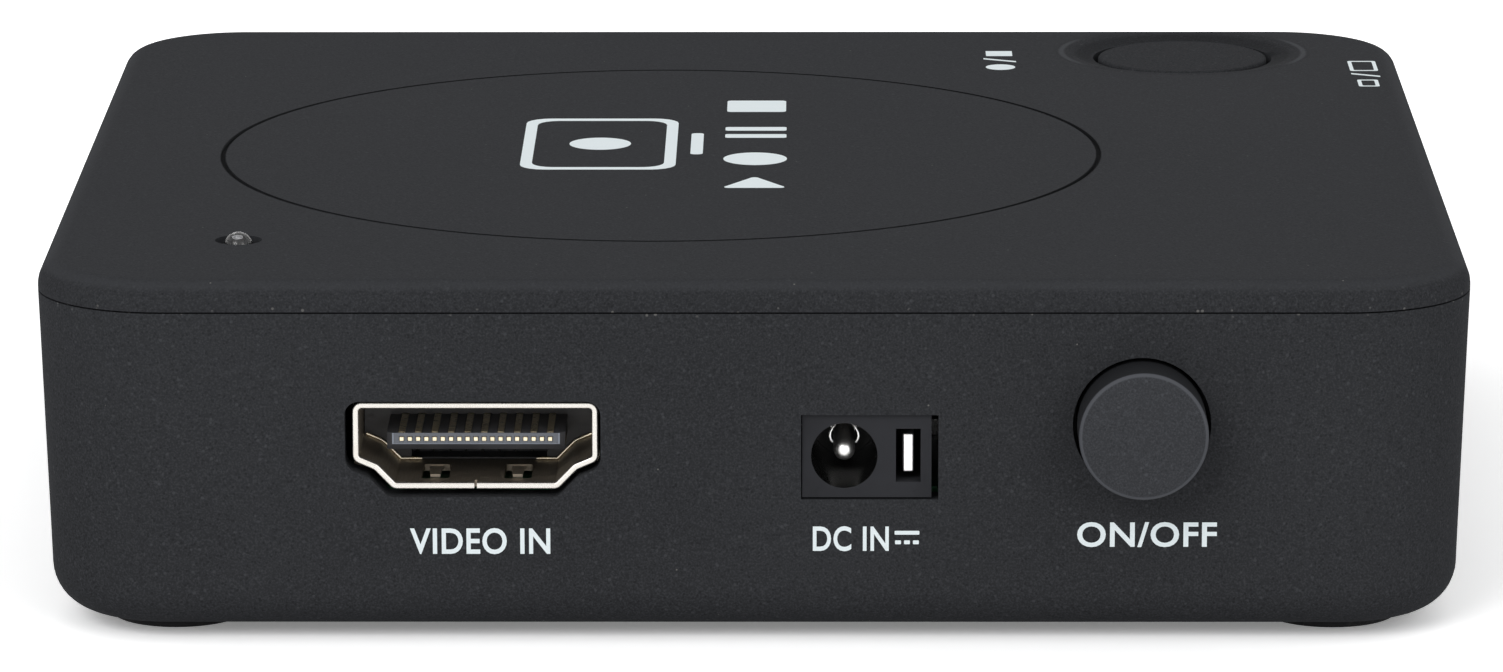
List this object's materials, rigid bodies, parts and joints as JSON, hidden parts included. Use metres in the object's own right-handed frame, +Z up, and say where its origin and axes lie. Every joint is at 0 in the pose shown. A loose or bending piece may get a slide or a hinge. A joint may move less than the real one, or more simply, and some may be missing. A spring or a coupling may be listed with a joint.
{
  "type": "video capture box",
  "caption": "Low square box that records a video signal: two moulded covers on rubber feet, a push power button, a round record button, and signal, data, sound and power sockets.",
  "frame": {"origin": "centre of the whole footprint, the power button's cap included, on the surface that the feet stand on", "axes": "+X to the right seen from the front, +Y from the front, where the power button is, to the back, +Z up"},
  "size_m": [0.0874, 0.0878, 0.0231],
  "materials": {
    "cover_plastic": "charcoal moulded plastic with a soft-touch coat and a very fine grain",
    "button_plastic": "charcoal moulded plastic, a little lighter than the covers, satin edge",
    "foot_rubber": "black rubber, matt",
    "plated_steel": "bright nickel plate on stamped steel sheet",
    "tin_plate": "tin plate, satin",
    "gold_plate": "thin gold plate on contact strips",
    "socket_plastic": "black moulded plastic with a low gloss",
    "switch_plastic": "black moulded plastic",
    "plunger_plastic": "pale moulded plastic",
    "screw_steel": "zinc-plated steel",
    "board_laminate": "green solder mask on glass laminate",
    "clear_lens": "clear moulded lens",
    "chip_plastic": "black moulding compound",
    "pad_silicone": "soft grey-blue pad",
    "sink_aluminium": "extruded aluminium, natural",
    "can_aluminium": "drawn aluminium can",
    "component_ceramic": "fired ceramic with tinned ends"
  },
  "bodies": {
    "housing": {"bottom_cover": "cover_plastic", "top_cover": "cover_plastic", "foot_front_left": "foot_rubber", "foot_front_right": "foot_rubber", "foot_back_right": "foot_rubber", "foot_back_left": "foot_rubber", "cover_screws": "screw_steel", "board_screws": "screw_steel", "main_board": "board_laminate", "video_in_shell": "plated_steel", "video_in_insulator": "socket_plastic", "video_in_contacts": "gold_plate", "video_out_shell": "plated_steel", "video_out_insulator": "socket_plastic", "video_out_contacts": "gold_plate", "drive_socket_shell": "plated_steel", "drive_socket_insulator": "socket_plastic", "drive_socket_contacts": "gold_plate", "power_jack_body": "socket_plastic", "power_jack_pin": "tin_plate", "power_jack_spring": "tin_plate", "power_jack_switch_contact": "tin_plate", "audio_jack_body": "socket_plastic", "audio_jack_contacts": "tin_plate", "power_switch_body": "switch_plastic", "power_switch_spring": "screw_steel", "power_switch_pins": "tin_plate", "record_switch_body": "switch_plastic", "record_switch_cover": "plated_steel", "record_switch_pins": "tin_plate", "status_light_lens": "clear_lens", "status_light_legs": "tin_plate", "status_light_spacer": "plunger_plastic", "processor": "chip_plastic", "thermal_pad": "pad_silicone", "heat_sink": "sink_aluminium", "memory_chips": "chip_plastic", "receiver_chip": "chip_plastic", "receiver_chip_leads": "tin_plate", "transmitter_chip": "chip_plastic", "transmitter_chip_leads": "tin_plate", "flash_chip": "chip_plastic", "capacitors": "can_aluminium", "inductors": "chip_plastic", "clock_crystal": "plated_steel", "chip_components": "component_ceramic"},
    "power_button": {"power_button_cap": "button_plastic", "power_switch_plunger": "plunger_plastic"},
    "record_button": {"record_button_cap": "button_plastic", "record_switch_plunger": "plunger_plastic"}
  },
  "joints": [
    {"name": "power_button_press", "type": "slide", "parent": "housing", "child": "power_button", "axis": [0, 1, 0], "range_m": [0, 0.0025], "stiffness_N_per_m": 600, "springref_m": -0.0015, "deforming": ["power_switch_spring"]},
    {"name": "record_button_press", "type": "slide", "parent": "housing", "child": "record_button", "axis": [0, 0, -1], "range_m": [0, 0.0003], "stiffness_N_per_m": 2000, "springref_m": -0.0001}
  ]
}
